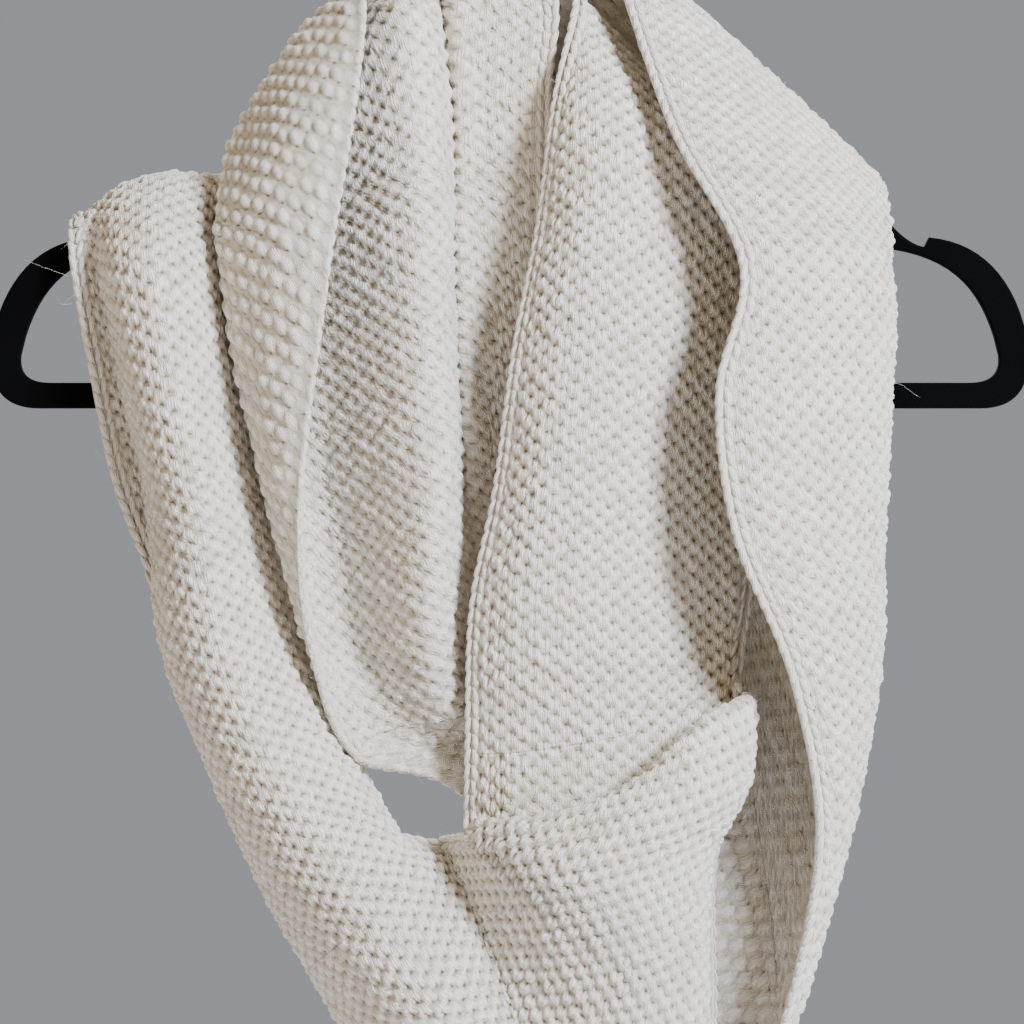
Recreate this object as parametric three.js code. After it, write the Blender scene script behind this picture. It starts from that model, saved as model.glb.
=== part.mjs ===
// A crocheted infinity scarf, wound twice round a slim clothes hanger.
// Millimetres, +Z up, front towards -Y. The origin is where a rail carries the hook:
// the inside of the hook's top, on the hanger's middle line.
// The scarf is one closed band. Each stretch of it that shows is a wall of its own,
// and the stretches follow each other round the band in the order of the tables.
import * as THREE from 'three';

// Sizes of the hanger
const HANGER_LENGTH = 445;
const PLATE_THICKNESS = 6;
const BAR_HEIGHT = 11;
const BAR_MIDDLE_Z = -221;
const NECK_TOP_Z = -95;
const ARM_SLOPE = 0.335;
const WIRE_RADIUS = 2;
const HOOK_INNER_RADIUS = 21;
const HOOK_SWEEP = 1.15 * Math.PI;
const SHANK_TOP_Z = -44;
const SHANK_SHARE = 0.25;
const LEAN_SHARE = 0.2;
const LEAN_START = 9;
const LEAN_END = 11;
const HOOK_STEPS = 40;
const WIRE_STEPS = 5;
const ARM_HEIGHT = 11.6;
const NECK_HALF_WIDTH = 6.5;
const NECK_HEIGHT = 8;
const PEAK_HALF_WIDTH = 4;

// Curves on the right of the plate, each from a start to an end, with the two points that pull it.
// A point is [inwards from the plate's end, upwards from the bar's middle].
// The plate has a lower corner, a round end and a notch, its opening a corner and an end.
const PLATE_CURVES = [
  { steps: 5, start: [20, -5.5], leave: [8, -5.5], arrive: [0, 0.5], end: [0, 14.5] },
  { steps: 7, start: [0.5, 25.5], leave: [6, 50.5], arrive: [20, 65.9], end: [42.5, 67.9] },
  { steps: 5, start: [44.5, 63.9], leave: [48.5, 63.9], arrive: [55.5, 69.2], end: [58.5, 73.2] },
];
const OPENING_CURVES = [
  { steps: 4, start: [25.6, 5.5], leave: [15.6, 5.5], arrive: [11.6, 9.5], end: [12.6, 17.5] },
  { steps: 6, start: [14.6, 25.5], leave: [21.6, 47.5], arrive: [33.6, 60.6], end: [64.5, 63.7] },
];

// Sizes of the scarf
const CLOTH_THICKNESS = 4;
const SEAM_GAP = 0.3;
const STEPS_BETWEEN_ROWS = 3;
const STEPS_BETWEEN_RAILS = 3;

// Every section of the band crosses it from its outer edge to its inner edge.
// A point is [x, depth] at the row's height z, or [x, depth, z] where the section tilts.
const RAILS = ['outer', 'out2', 'out1', 'mid', 'in1', 'in2', 'inner'];

// The left outer fall, from the top of the left arm down to the lower left
const LEFT_OUTER_FALL = [
  { outer: [-187, -2, -147], out2: [-177, -3, -141], out1: [-166, -4, -133], mid: [-150, -5, -128.5],
    in1: [-135, -6, -129.5], in2: [-121, -6, -130.7], inner: [-105, -6, -125.2] },
  { z: -164, outer: [-187, -16], out2: [-175, -13], out1: [-164, -34], mid: [-147, -41],
    in1: [-132, -28], in2: [-126, -9.5], inner: [-156, -9] },
  { z: -208, outer: [-179, -18], out2: [-167, -14], out1: [-157, -40], mid: [-141, -48],
    in1: [-126, -33], in2: [-119, -9.5], inner: [-150, -9] },
  { z: -266, outer: [-166, -18], out2: [-154, -14], out1: [-145, -42], mid: [-129, -52],
    in1: [-114, -35], in2: [-106, -10], inner: [-138, -9] },
  { z: -326, outer: [-140, -12], out2: [-146, -24], out1: [-136, -46], mid: [-118, -55],
    in1: [-99, -40], in2: [-88, -12], inner: [-116, -9.5] },
  { z: -383, outer: [-112, -10], out2: [-124, -24], out1: [-114, -49], mid: [-94, -59],
    in1: [-72, -47], in2: [-62, -20], inner: [-84, -10] },
  { outer: [-92, -10, -442], out2: [-103, -24, -430], out1: [-92, -51, -424], mid: [-72, -63, -417],
    in1: [-53, -53, -411], in2: [-47, -31, -408], inner: [-62, -13, -410] },
];

// The lower sweep, from the bottom of the left fall round to the roll under the right inner fall
const LOWER_SWEEP = [
  { outer: [-70, -12, -473], out2: [-83, -27, -464], out1: [-73, -53, -452], mid: [-58, -66, -439],
    in1: [-43, -58, -425], in2: [-37, -38, -414], inner: [-48, -19, -409] },
  { outer: [-40, -14, -522], out2: [-48, -29, -513], out1: [-41, -56, -494], mid: [-31, -69, -472],
    in1: [-23, -61, -448], in2: [-23, -44, -427], inner: [-33, -25, -410] },
  { outer: [30, -20, -556], out2: [22, -36, -550], out1: [14, -52, -522], mid: [6, -58, -490],
    in1: [-5, -55, -458], in2: [-16, -46, -430], inner: [-27, -29, -408] },
  { outer: [80, -38, -514], out2: [71, -54, -506], out1: [55, -67, -488], mid: [36, -74, -464],
    in1: [14, -75, -440], in2: [-6, -66, -418], inner: [-21, -44, -405] },
  { outer: [84, -44, -424], out2: [77, -64, -422], out1: [62, -79, -419], mid: [43, -87, -418],
    in1: [20, -86, -418], in2: [0, -76, -411], inner: [-18, -54, -404] },
  { outer: [91, -40, -386], out2: [97, -58, -384], out1: [80, -80, -387], mid: [54, -89, -396],
    in1: [26, -86, -404], in2: [1, -75, -406], inner: [-18, -52, -402] },
  { outer: [94, -41, -350], out2: [99, -58, -349], out1: [80, -74, -358], mid: [53, -80, -381],
    in1: [26, -78, -394], in2: [2, -69, -399], inner: [-18, -48, -400] },
  { outer: [91, -31, -357], out2: [94, -43, -357], out1: [78, -54, -367], mid: [52, -59, -388],
    in1: [26, -59, -399], in2: [2, -53, -403], inner: [-18, -37, -403] },
];

// The right inner fall, from the crease behind that roll up to the neck
const RIGHT_INNER_FALL = [
  { outer: [97, -30, -335], out2: [83, -39, -346], out1: [65, -47, -358], mid: [46, -52, -364],
    in1: [24, -52, -368], in2: [2, -49, -371], inner: [-18, -40, -372] },
  { z: -312, outer: [101, -21], out2: [86, -31], out1: [68, -43], mid: [47, -53],
    in1: [25, -58], in2: [3, -56], inner: [-16, -44] },
  { z: -262, outer: [106, -17], out2: [92, -27], out1: [75, -40], mid: [56, -52],
    in1: [35, -59], in2: [13, -58], inner: [-6, -44] },
  { z: -204, outer: [110, -17], out2: [96, -28], out1: [79, -41], mid: [60, -52],
    in1: [40, -58], in2: [20, -56], inner: [2, -42] },
  { z: -152, outer: [112, -18], out2: [98, -28], out1: [81, -39], mid: [63, -48],
    in1: [45, -53], in2: [27, -50], inner: [12, -36] },
  { outer: [110, -16, -136], out2: [97, -24, -124], out1: [81, -32, -116], mid: [64, -39, -110],
    in1: [47, -44, -105], in2: [31, -42, -101], inner: [19, -32, -98] },
];

// The inner turn, up the right side of the neck, behind the hook and down its left side
const NECK_INNER_TURN = [
  { outer: [106, -4, -117], out2: [95, -7, -110], out1: [81, -10, -101], mid: [66, -11, -90],
    in1: [52, -12, -77], in2: [39, -12, -64], inner: [27, -11, -52] },
  { outer: [92, 11, -134], out2: [82, 14, -122], out1: [70, 16, -109], mid: [57, 17, -94],
    in1: [44, 16, -78], in2: [31, 12, -63], inner: [18, 8, -50] },
  { outer: [58, 16, -176], out2: [53, 18, -155], out1: [46, 20, -133], mid: [37, 21, -111],
    in1: [28, 20, -90], in2: [19, 17, -68], inner: [10, 12, -49] },
  { outer: [2, 16, -188], out2: [1, 18, -164], out1: [0, 20, -138], mid: [0, 21, -113],
    in1: [0, 20, -88], in2: [0, 18, -67], inner: [0, 13, -47] },
  { outer: [-54, 25, -128], out2: [-62, 22, -148], out1: [-68, 16, -158], mid: [-58, 14, -124],
    in1: [-44, 14, -92], in2: [-30, 12, -65], inner: [-15, 10, -46] },
  { outer: [-68, 16, -60], out2: [-87, 17, -86], out1: [-106, 13, -117], mid: [-77, 8, -80],
    in1: [-52, 8, -50], in2: [-31, 6, -49], inner: [-14, 4, -41] },
];

// The left inner fall: a turned lapel, the hollow behind it, the front panel and the throat fold
const LEFT_INNER_FALL = [
  { outer: [-66, -12, -45], out2: [-93, -10, -73], out1: [-117, -5, -115], mid: [-77, 2, -76],
    in1: [-52, -5, -47], in2: [-27, -6, -43], inner: [-7, -7, -40] },
  { outer: [-61, -40, -60], out2: [-92, -33, -92], out1: [-121, -19, -132], mid: [-86, -13, -96],
    in1: [-46, -31, -62], in2: [-22, -17, -56], inner: [19, -18, -50] },
  { outer: [-64, -56, -102], out2: [-93, -48, -120], out1: [-123, -27, -152], mid: [-90, -17, -134],
    in1: [-39, -41, -108], in2: [-19, -14, -102], inner: [18, -18, -94] },
  { z: -160, outer: [-73, -62], out2: [-99, -51], out1: [-122, -25], mid: [-90, -15],
    in1: [-37, -44], in2: [-19, -14], inner: [17, -17] },
  { z: -204, outer: [-79, -63], out2: [-101, -50], out1: [-115, -26], mid: [-86, -15],
    in1: [-36, -45], in2: [-18, -16], inner: [13, -12] },
  { z: -240, outer: [-84, -61], out2: [-100, -48], out1: [-106, -26], mid: [-82, -15],
    in1: [-34, -46], in2: [-16, -20], inner: [10, -9.5] },
  { z: -284, outer: [-87, -56], out2: [-94, -43], out1: [-94, -25], mid: [-72, -15],
    in1: [-33, -46], in2: [-15, -20], inner: [12, -9.5] },
  { z: -328, outer: [-83, -46], out2: [-83, -34], out1: [-78, -21], mid: [-62, -16],
    in1: [-33, -42], in2: [-13, -22], inner: [12, -10] },
];

// The stretch that passes under the right inner fall and the lower sweep
const CROSSING_UNDER = [
  { outer: [-66, -36, -373], out2: [-61, -30, -368], out1: [-53, -24, -364], mid: [-40, -26, -360],
    in1: [-22, -33, -356], in2: [-4, -22, -350], inner: [17, -11, -342] },
  { outer: [-20, -24, -391], out2: [-12, -22, -384], out1: [-3, -20, -375], mid: [7, -19, -365],
    in1: [17, -18, -354], in2: [28, -14, -342], inner: [40, -10, -330] },
  { outer: [34, -18, -462], out2: [41, -18, -438], out1: [48, -17, -412], mid: [54, -16, -386],
    in1: [59, -14, -360], in2: [64, -11, -334], inner: [68, -9, -310] },
  { outer: [80, -16, -530], out2: [85, -16, -498], out1: [88, -15, -464], mid: [88, -14, -428],
    in1: [87, -12, -390], in2: [85, -10, -350], inner: [82, -8.5, -308] },
];

// The right outer fall, a channel open to the left that holds the right inner fall
const RIGHT_OUTER_FALL = [
  { outer: [103, -48, -514], out2: [112, -38, -498], out1: [114, -26, -470], mid: [110, -18, -432],
    in1: [104, -14, -392], in2: [98, -10, -350], inner: [92, -8.5, -308] },
  { outer: [126, -60, -417], out2: [135, -52, -414], out1: [141, -35, -405], mid: [136, -20, -384],
    in1: [124, -14, -354], in2: [112, -10, -322], inner: [102, -8.5, -288] },
  { outer: [116, -74, -344], out2: [133, -68, -344], out1: [149, -52, -340], mid: [154, -30, -330],
    in1: [144, -14, -314], in2: [126, -9, -294], inner: [108, -8, -272] },
  { outer: [91, -80, -280], out2: [112, -77, -280], out1: [136, -64, -279], mid: [154, -43, -276],
    in1: [153, -20, -270], in2: [136, -9.5, -262], inner: [112, -8, -252] },
  { z: -223, outer: [84, -80], out2: [108, -77], out1: [134, -66], mid: [155.5, -45],
    in1: [156.5, -20], in2: [140, -9.5], inner: [116, -8] },
  { outer: [94, -74, -170], out2: [116, -70, -171], out1: [141, -58, -174], mid: [158, -38, -178],
    in1: [159, -17, -182], in2: [144, -9.5, -186], inner: [120, -8.5, -190] },
  { outer: [66, -58, -112], out2: [90, -58, -118], out1: [116, -50, -128], mid: [142, -37, -141],
    in1: [160, -19, -156], in2: [150, -9.5, -160], inner: [128, -8, -160] },
];

// The outer turn, over the right arm, behind the neck and back to the left arm
const NECK_OUTER_TURN = [
  { outer: [42, -10, -32], out2: [72, -8, -52], out1: [105, -7, -81], mid: [134, -6, -108],
    in1: [159, -4, -133], in2: [147, -5, -137.5], inner: [124, -5, -129.5] },
  { outer: [38, 9, -30], out2: [68, 15, -51], out1: [100, 19, -79], mid: [130, 21, -105],
    in1: [157, 17, -134], in2: [147, 10, -140], inner: [126, 10, -135] },
  { outer: [33, 26, -32], out2: [62, 31, -56], out1: [92, 35, -84], mid: [118, 36, -118],
    in1: [136, 33, -150], in2: [134, 28, -186], inner: [124, 24, -216] },
  { outer: [10, 34, -32], out2: [20, 40, -64], out1: [32, 43, -96], mid: [42, 44, -136],
    in1: [50, 42, -176], in2: [54, 39, -215], inner: [56, 36, -252] },
  { outer: [-34, 36, -46], out2: [-42, 41, -76], out1: [-50, 43, -104], mid: [-56, 43, -142],
    in1: [-60, 41, -180], in2: [-62, 38, -218], inner: [-62, 35, -254] },
  { outer: [-90, 30, -98], out2: [-104, 33, -118], out1: [-118, 34, -140], mid: [-132, 34, -164],
    in1: [-144, 32, -188], in2: [-152, 28, -211], inner: [-156, 23, -233] },
  { outer: [-111, 12, -128], out2: [-121, 16, -129.5], out1: [-134, 19, -131.5], mid: [-148, 19, -139],
    in1: [-161, 17, -146], in2: [-171, 14, -155], inner: [-180, 12, -164] },
];

const STRETCHES = [
  { name: 'left_outer_fall', rows: LEFT_OUTER_FALL },
  { name: 'lower_sweep', rows: LOWER_SWEEP },
  { name: 'right_inner_fall', rows: RIGHT_INNER_FALL },
  { name: 'neck_inner_turn', rows: NECK_INNER_TURN },
  { name: 'left_inner_fall', rows: LEFT_INNER_FALL },
  { name: 'crossing_under', rows: CROSSING_UNDER },
  { name: 'right_outer_fall', rows: RIGHT_OUTER_FALL },
  { name: 'neck_outer_turn', rows: NECK_OUTER_TURN },
];

// Materials
function finish(name, color, roughness, metalness = 0) {
  return new THREE.MeshStandardMaterial({ name, color, roughness, metalness });
}

const clothFinish = () => finish('off-white yarn', 0xe9e0d0, 0.95);
const flockFinish = () => finish('black flock', 0x0b0b0c, 1);
const wireFinish = () => finish('plated wire', 0xb8babd, 0.3, 1);

// The band as one surface

function sectionOf(row) {
  return RAILS.map((rail) => {
    const [x, y, z = row.z] = row[rail];
    return new THREE.Vector3(x, y, z);
  });
}

const sections = STRETCHES.flatMap((stretch) => stretch.rows.map(sectionOf));

// The band has half a twist, so one trip round it swaps the outer edge and the inner edge.
function sectionAt(index) {
  const trips = Math.floor(index / sections.length);
  const section = sections[index - trips * sections.length];
  return trips % 2 === 0 ? section : [...section].reverse();
}

function spline(before, start, end, after, t) {
  const point = new THREE.Vector3();
  for (const axis of ['x', 'y', 'z']) {
    const [a, b, c, d] = [before[axis], start[axis], end[axis], after[axis]];
    const slope = (c - a) / 2;
    const curve = a - 2.5 * b + 2 * c - 0.5 * d;
    const turn = (d - a) / 2 + 1.5 * (b - c);
    point[axis] = ((turn * t + curve) * t + slope) * t + b;
  }
  return point;
}

// Past its two edges the band runs straight on, which shapes the spline at the edges.
function railOf(section, index) {
  const last = RAILS.length - 1;
  if (index < 0) return section[0].clone().multiplyScalar(2).sub(section[1]);
  if (index > last) return section[last].clone().multiplyScalar(2).sub(section[last - 1]);
  return section[index];
}

function bandPoint(along, across) {
  const row = Math.floor(along);
  const rail = Math.min(Math.max(Math.floor(across), 0), RAILS.length - 2);
  const [before, start, end, after] = [-1, 0, 1, 2].map((step) => {
    const section = sectionAt(row + step);
    const [a, b, c, d] = [-1, 0, 1, 2].map((next) => railOf(section, rail + next));
    return spline(a, b, c, d, across - rail);
  });
  return spline(before, start, end, after, along - row);
}

const SMALL_STEP = 0.02;

function directionAlong(along, across) {
  return bandPoint(along + SMALL_STEP, across).sub(bandPoint(along - SMALL_STEP, across)).normalize();
}

function directionAcross(along, across) {
  return bandPoint(along, across + SMALL_STEP).sub(bandPoint(along, across - SMALL_STEP)).normalize();
}

function closedMesh(name, points, triangles, material) {
  const geometry = new THREE.BufferGeometry();
  const coordinates = points.flatMap((point) => point.toArray());
  geometry.setAttribute('position', new THREE.Float32BufferAttribute(coordinates, 3));
  geometry.setIndex(triangles.flat());
  geometry.computeVertexNormals();
  const mesh = new THREE.Mesh(geometry, material);
  mesh.name = name;
  return mesh;
}

// A stretch is a wall between two rows of the band: its faces lie half a thickness to each side,
// and each end stops half a seam gap short of its neighbour.
function clothStretch(name, firstRow, lastRow) {
  const rowCount = (lastRow - firstRow) * STEPS_BETWEEN_ROWS + 1;
  const railCount = (RAILS.length - 1) * STEPS_BETWEEN_RAILS + 1;
  const faces = { front: [], back: [] };
  for (let i = 0; i < rowCount; i += 1) {
    const along = firstRow + i / STEPS_BETWEEN_ROWS;
    const inset = i === 0 ? SEAM_GAP / 2 : i === rowCount - 1 ? -SEAM_GAP / 2 : 0;
    for (let j = 0; j < railCount; j += 1) {
      const across = j / STEPS_BETWEEN_RAILS;
      const forward = directionAlong(along, across);
      const normal = forward.clone().cross(directionAcross(along, across)).normalize();
      const middle = bandPoint(along, across).addScaledVector(forward, inset);
      faces.front.push(middle.clone().addScaledVector(normal, CLOTH_THICKNESS / 2));
      faces.back.push(middle.clone().addScaledVector(normal, -CLOTH_THICKNESS / 2));
    }
  }
  const points = [...faces.front, ...faces.back];
  const backStart = faces.front.length;
  const at = (i, j) => i * railCount + j;
  const triangles = [];
  const quad = (a, b, c, d) => triangles.push([a, b, c], [a, c, d]);
  for (let i = 0; i < rowCount - 1; i += 1) {
    for (let j = 0; j < railCount - 1; j += 1) {
      const [a, b, c, d] = [at(i, j), at(i, j + 1), at(i + 1, j + 1), at(i + 1, j)];
      quad(a, d, c, b);
      quad(backStart + a, backStart + b, backStart + c, backStart + d);
    }
  }
  const [lastRowIndex, lastRailIndex] = [rowCount - 1, railCount - 1];
  const edgeQuad = (a, b) => quad(a, b, backStart + b, backStart + a);
  const farEdgeQuad = (a, b) => quad(a, backStart + a, backStart + b, b);
  for (let j = 0; j < lastRailIndex; j += 1) {
    edgeQuad(at(0, j), at(0, j + 1));
    farEdgeQuad(at(lastRowIndex, j), at(lastRowIndex, j + 1));
  }
  for (let i = 0; i < lastRowIndex; i += 1) {
    edgeQuad(at(i, lastRailIndex), at(i + 1, lastRailIndex));
    farEdgeQuad(at(i, 0), at(i + 1, 0));
  }
  return closedMesh(name, points, triangles, clothFinish());
}

// Hanger body: one flat plate with round ends, a notch in the top of each arm and an open middle

const corner = (x, z) => new THREE.Vector2(x, z);
const armTopZ = (x) => NECK_TOP_Z - ARM_SLOPE * (x - NECK_HALF_WIDTH);

function curvePoints(curves) {
  return curves.flatMap(({ steps, start, leave, arrive, end }) => {
    const places = [start, leave, arrive, end];
    const corners = places.map(([inwards, up]) => corner(HANGER_LENGTH / 2 - inwards, BAR_MIDDLE_Z + up));
    return new THREE.CubicBezierCurve(...corners).getPoints(steps);
  });
}

// The right half of the plate's edge, from the bar's underside round the end and up to the neck
function rightEdge() {
  const neckFoot = corner(NECK_HALF_WIDTH, NECK_TOP_Z);
  const neckTop = corner(NECK_HALF_WIDTH, NECK_TOP_Z + NECK_HEIGHT);
  return [...curvePoints(PLATE_CURVES), neckFoot, neckTop];
}

// The right half of the opening's edge, from the bar's top round to the peak under the neck
function rightOpeningEdge() {
  const peak = corner(PEAK_HALF_WIDTH, armTopZ(PEAK_HALF_WIDTH) - ARM_HEIGHT);
  return [...curvePoints(OPENING_CURVES), peak];
}

const mirrored = (points) => [...points].reverse().map((point) => corner(-point.x, point.y));

function hangerBody() {
  const outline = new THREE.Shape([...rightEdge(), ...mirrored(rightEdge())]);
  outline.holes.push(new THREE.Path([...rightOpeningEdge(), ...mirrored(rightOpeningEdge())]));
  const geometry = new THREE.ExtrudeGeometry(outline, { depth: PLATE_THICKNESS, bevelEnabled: false });
  geometry.translate(0, 0, -PLATE_THICKNESS / 2);
  geometry.rotateX(Math.PI / 2);
  const mesh = new THREE.Mesh(geometry, flockFinish());
  mesh.name = 'hanger_body';
  return mesh;
}

// Hook: a wire that stands in the neck, leans out to one side and bends over the rail

class HookLine extends THREE.Curve {
  getPoint(t) {
    const radius = HOOK_INNER_RADIUS + WIRE_RADIUS;
    const foot = new THREE.Vector3(0, 0, NECK_TOP_Z + NECK_HEIGHT + SEAM_GAP);
    const shankTop = new THREE.Vector3(0, 0, SHANK_TOP_Z);
    if (t < SHANK_SHARE) return foot.lerp(shankTop, t / SHANK_SHARE);
    const straightShare = SHANK_SHARE + LEAN_SHARE;
    if (t < straightShare) {
      const above = new THREE.Vector3(0, 0, SHANK_TOP_Z + LEAN_START);
      const below = new THREE.Vector3(radius, 0, -HOOK_INNER_RADIUS - LEAN_END);
      const side = new THREE.Vector3(radius, 0, -HOOK_INNER_RADIUS);
      const lean = new THREE.CubicBezierCurve3(shankTop, above, below, side);
      return lean.getPoint((t - SHANK_SHARE) / LEAN_SHARE);
    }
    const angle = HOOK_SWEEP * (t - straightShare) / (1 - straightShare);
    const height = radius * Math.sin(angle) - HOOK_INNER_RADIUS;
    return new THREE.Vector3(radius * Math.cos(angle), 0, height);
  }
}

function hangerHook() {
  const round = new THREE.Shape().absarc(0, 0, WIRE_RADIUS, 0, 2 * Math.PI);
  const geometry = new THREE.ExtrudeGeometry(round, {
    steps: HOOK_STEPS,
    curveSegments: WIRE_STEPS,
    bevelEnabled: false,
    extrudePath: new HookLine(),
  });
  const mesh = new THREE.Mesh(geometry, wireFinish());
  mesh.name = 'hanger_hook';
  return mesh;
}

const scarf = new THREE.Group();
let firstRow = 0;
for (const { name, rows } of STRETCHES) {
  scarf.add(clothStretch(name, firstRow, firstRow + rows.length));
  firstRow += rows.length;
}

const part = new THREE.Group();
part.add(hangerBody(), hangerHook(), scarf);

export default part;
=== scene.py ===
# %% [markdown]
# # A crocheted infinity scarf on a slim hanger
# The scarf is one long band of crochet, about 180 mm wide, whose ends are joined into a loop with
# half a twist. The loop hangs twice round a flocked hanger. The construction model gives the
# hanger and a plain wall for each stretch of the band. This script gives the band its stitches,
# its braided edges, its stray fibres and its materials, and it never moves the construction model.

# %% Load the construction model
import math

import bpy
import numpy as np
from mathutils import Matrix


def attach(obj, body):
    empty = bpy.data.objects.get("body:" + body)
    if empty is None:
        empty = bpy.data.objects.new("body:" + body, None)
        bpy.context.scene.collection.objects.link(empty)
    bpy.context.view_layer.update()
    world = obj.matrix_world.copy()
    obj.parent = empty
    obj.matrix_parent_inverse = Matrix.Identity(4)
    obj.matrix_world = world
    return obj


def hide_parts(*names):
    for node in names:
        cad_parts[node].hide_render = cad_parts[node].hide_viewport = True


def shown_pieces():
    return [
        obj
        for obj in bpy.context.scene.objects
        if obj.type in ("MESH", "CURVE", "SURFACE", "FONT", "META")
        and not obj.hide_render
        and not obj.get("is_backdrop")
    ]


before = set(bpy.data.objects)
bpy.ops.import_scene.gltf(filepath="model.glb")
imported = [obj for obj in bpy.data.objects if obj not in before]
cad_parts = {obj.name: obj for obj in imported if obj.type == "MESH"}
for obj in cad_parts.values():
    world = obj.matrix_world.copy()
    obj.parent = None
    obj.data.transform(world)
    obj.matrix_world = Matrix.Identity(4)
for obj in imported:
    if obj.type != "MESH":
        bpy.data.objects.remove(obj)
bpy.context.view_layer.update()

MM = 0.001

# %% [markdown]
# ## Colours, nodes and objects
# A colour picker shows sRGB, but a shader works in linear light. One function turns a hex value
# into linear numbers. One more adds a node with its settings and its inputs, because every
# material is a short chain of nodes. The last one puts a shape into the scene.

# %% Helpers for colours, nodes and objects
def linear(hex_colour):
    """An sRGB hex colour as linear red, green, blue and alpha."""
    channels = [int(hex_colour[i:i + 2], 16) / 255 for i in (1, 3, 5)]
    bent = [c / 12.92 if c <= 0.04045 else ((c + 0.055) / 1.055) ** 2.4 for c in channels]
    return (*bent, 1.0)


def fill_in(tree, node, **inputs):
    """Gives inputs their value or link. They are named, with _ for a space, or numbered i0, i1."""
    for key, value in inputs.items():
        numbered = key[0] == "i" and key[1:].isdigit()
        socket = node.inputs[int(key[1:]) if numbered else key.replace("_", " ")]
        if isinstance(value, bpy.types.NodeSocket):
            tree.links.new(value, socket)
        else:
            socket.default_value = value
    return node


def add_node(tree, kind, settings=None, **inputs):
    """Adds a node, sets its properties and fills in its inputs."""
    node = tree.nodes.new(kind)
    for key, value in (settings or {}).items():
        setattr(node, key, value)
    return fill_in(tree, node, **inputs)


def add_object(name, data):
    """Puts a mesh, curve, light or camera into the scene."""
    added = bpy.data.objects.new(name, data)
    bpy.context.scene.collection.objects.link(added)
    return added


# %% [markdown]
# ## The band's path
# Cloth like this could be draped by simulation, but the folds here must lie where they lie on the
# real scarf. So the band is drawn as sections from its outer edge to its inner edge. Each row
# below is one section, each column one line along the band, in millimetres: across, depth and
# height. Smooth curves join them. The tables match the plain walls.

# %% Sections of the band
RAILS = ["outer", "out2", "out1", "mid", "in1", "in2", "inner"]

# The left outer fall, from the top of the left arm to the lower left
LEFT_OUTER_FALL = [
    [(-187, -2, -147), (-177, -3, -141), (-166, -4, -133), (-150, -5, -128.5),
     (-135, -6, -129.5), (-121, -6, -130.7), (-105, -6, -125.2)],
    [(-187, -16, -164), (-175, -13, -164), (-164, -34, -164), (-147, -41, -164),
     (-132, -28, -164), (-126, -9.5, -164), (-156, -9, -164)],
    [(-179, -18, -208), (-167, -14, -208), (-157, -40, -208), (-141, -48, -208),
     (-126, -33, -208), (-119, -9.5, -208), (-150, -9, -208)],
    [(-166, -18, -266), (-154, -14, -266), (-145, -42, -266), (-129, -52, -266),
     (-114, -35, -266), (-106, -10, -266), (-138, -9, -266)],
    [(-140, -12, -326), (-146, -24, -326), (-136, -46, -326), (-118, -55, -326),
     (-99, -40, -326), (-88, -12, -326), (-116, -9.5, -326)],
    [(-112, -10, -383), (-124, -24, -383), (-114, -49, -383), (-94, -59, -383),
     (-72, -47, -383), (-62, -20, -383), (-84, -10, -383)],
    [(-92, -10, -442), (-103, -24, -430), (-92, -51, -424), (-72, -63, -417),
     (-53, -53, -411), (-47, -31, -408), (-62, -13, -410)],
]

# The lower sweep, round to the roll under the right inner fall
LOWER_SWEEP = [
    [(-70, -12, -473), (-83, -27, -464), (-73, -53, -452), (-58, -66, -439),
     (-43, -58, -425), (-37, -38, -414), (-48, -19, -409)],
    [(-40, -14, -522), (-48, -29, -513), (-41, -56, -494), (-31, -69, -472),
     (-23, -61, -448), (-23, -44, -427), (-33, -25, -410)],
    [(30, -20, -556), (22, -36, -550), (14, -52, -522), (6, -58, -490),
     (-5, -55, -458), (-16, -46, -430), (-27, -29, -408)],
    [(80, -38, -514), (71, -54, -506), (55, -67, -488), (36, -74, -464),
     (14, -75, -440), (-6, -66, -418), (-21, -44, -405)],
    [(84, -44, -424), (77, -64, -422), (62, -79, -419), (43, -87, -418),
     (20, -86, -418), (0, -76, -411), (-18, -54, -404)],
    [(91, -40, -386), (97, -58, -384), (80, -80, -387), (54, -89, -396),
     (26, -86, -404), (1, -75, -406), (-18, -52, -402)],
    [(94, -41, -350), (99, -58, -349), (80, -74, -358), (53, -80, -381),
     (26, -78, -394), (2, -69, -399), (-18, -48, -400)],
    [(91, -31, -357), (94, -43, -357), (78, -54, -367), (52, -59, -388),
     (26, -59, -399), (2, -53, -403), (-18, -37, -403)],
]

# The right inner fall, from the crease behind that roll up to the neck
RIGHT_INNER_FALL = [
    [(97, -30, -335), (83, -39, -346), (65, -47, -358), (46, -52, -364),
     (24, -52, -368), (2, -49, -371), (-18, -40, -372)],
    [(101, -21, -312), (86, -31, -312), (68, -43, -312), (47, -53, -312),
     (25, -58, -312), (3, -56, -312), (-16, -44, -312)],
    [(106, -17, -262), (92, -27, -262), (75, -40, -262), (56, -52, -262),
     (35, -59, -262), (13, -58, -262), (-6, -44, -262)],
    [(110, -17, -204), (96, -28, -204), (79, -41, -204), (60, -52, -204),
     (40, -58, -204), (20, -56, -204), (2, -42, -204)],
    [(112, -18, -152), (98, -28, -152), (81, -39, -152), (63, -48, -152),
     (45, -53, -152), (27, -50, -152), (12, -36, -152)],
    [(110, -16, -136), (97, -24, -124), (81, -32, -116), (64, -39, -110),
     (47, -44, -105), (31, -42, -101), (19, -32, -98)],
]

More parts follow.
